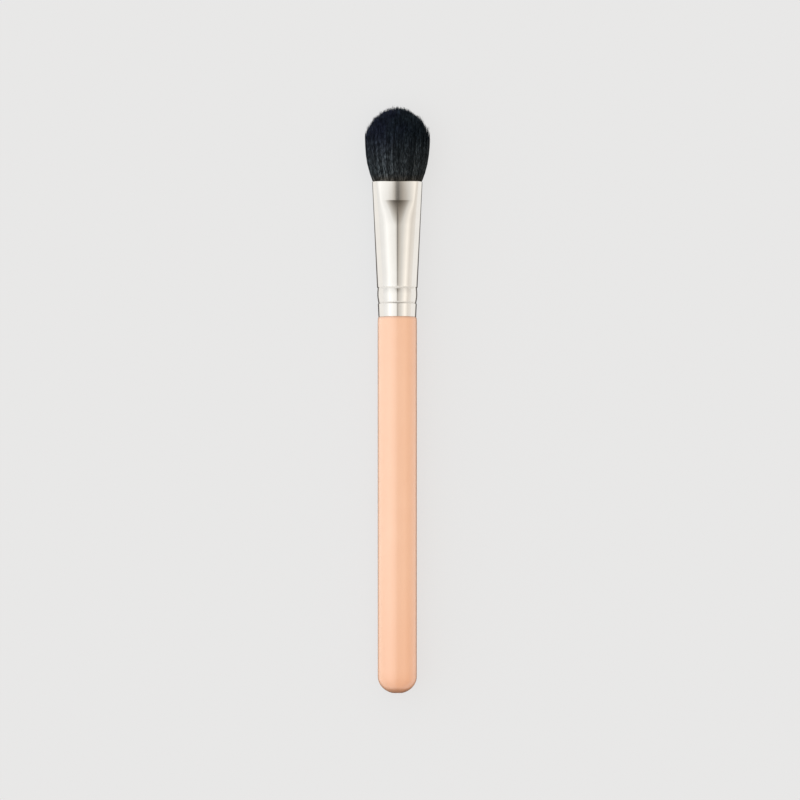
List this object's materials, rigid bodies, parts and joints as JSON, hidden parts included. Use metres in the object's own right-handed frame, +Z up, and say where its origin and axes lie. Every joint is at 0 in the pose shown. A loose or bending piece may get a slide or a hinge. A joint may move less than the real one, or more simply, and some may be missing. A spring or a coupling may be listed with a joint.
{
  "type": "blush brush",
  "caption": "Slim blush brush: lacquered wooden handle, crimped metal ferrule pressed oval at its mouth, and a soft domed tuft of black hair.",
  "frame": {"origin": "on the surface that the brush lies on, under the middle of its length and width", "axes": "+Y along the brush from the butt to the hair's tip, +X across the flat of the head, +Z up through its thickness"},
  "size_m": [0.0188, 0.1699, 0.012],
  "materials": {
    "peach_lacquer": "satin peach lacquer over turned wood",
    "nickel": "polished warm silver",
    "black_hair": "soft black hair",
    "amber_resin": "set amber resin",
    "cotton_thread": "undyed cotton",
    "clear_adhesive": "set clear adhesive"
  },
  "bodies": {
    "root": {"handle": "peach_lacquer", "ferrule": "nickel", "hair_tuft": "black_hair", "root_plug": "amber_resin", "root_binding": "cotton_thread", "tenon_glue": "clear_adhesive"}
  },
  "joints": []
}
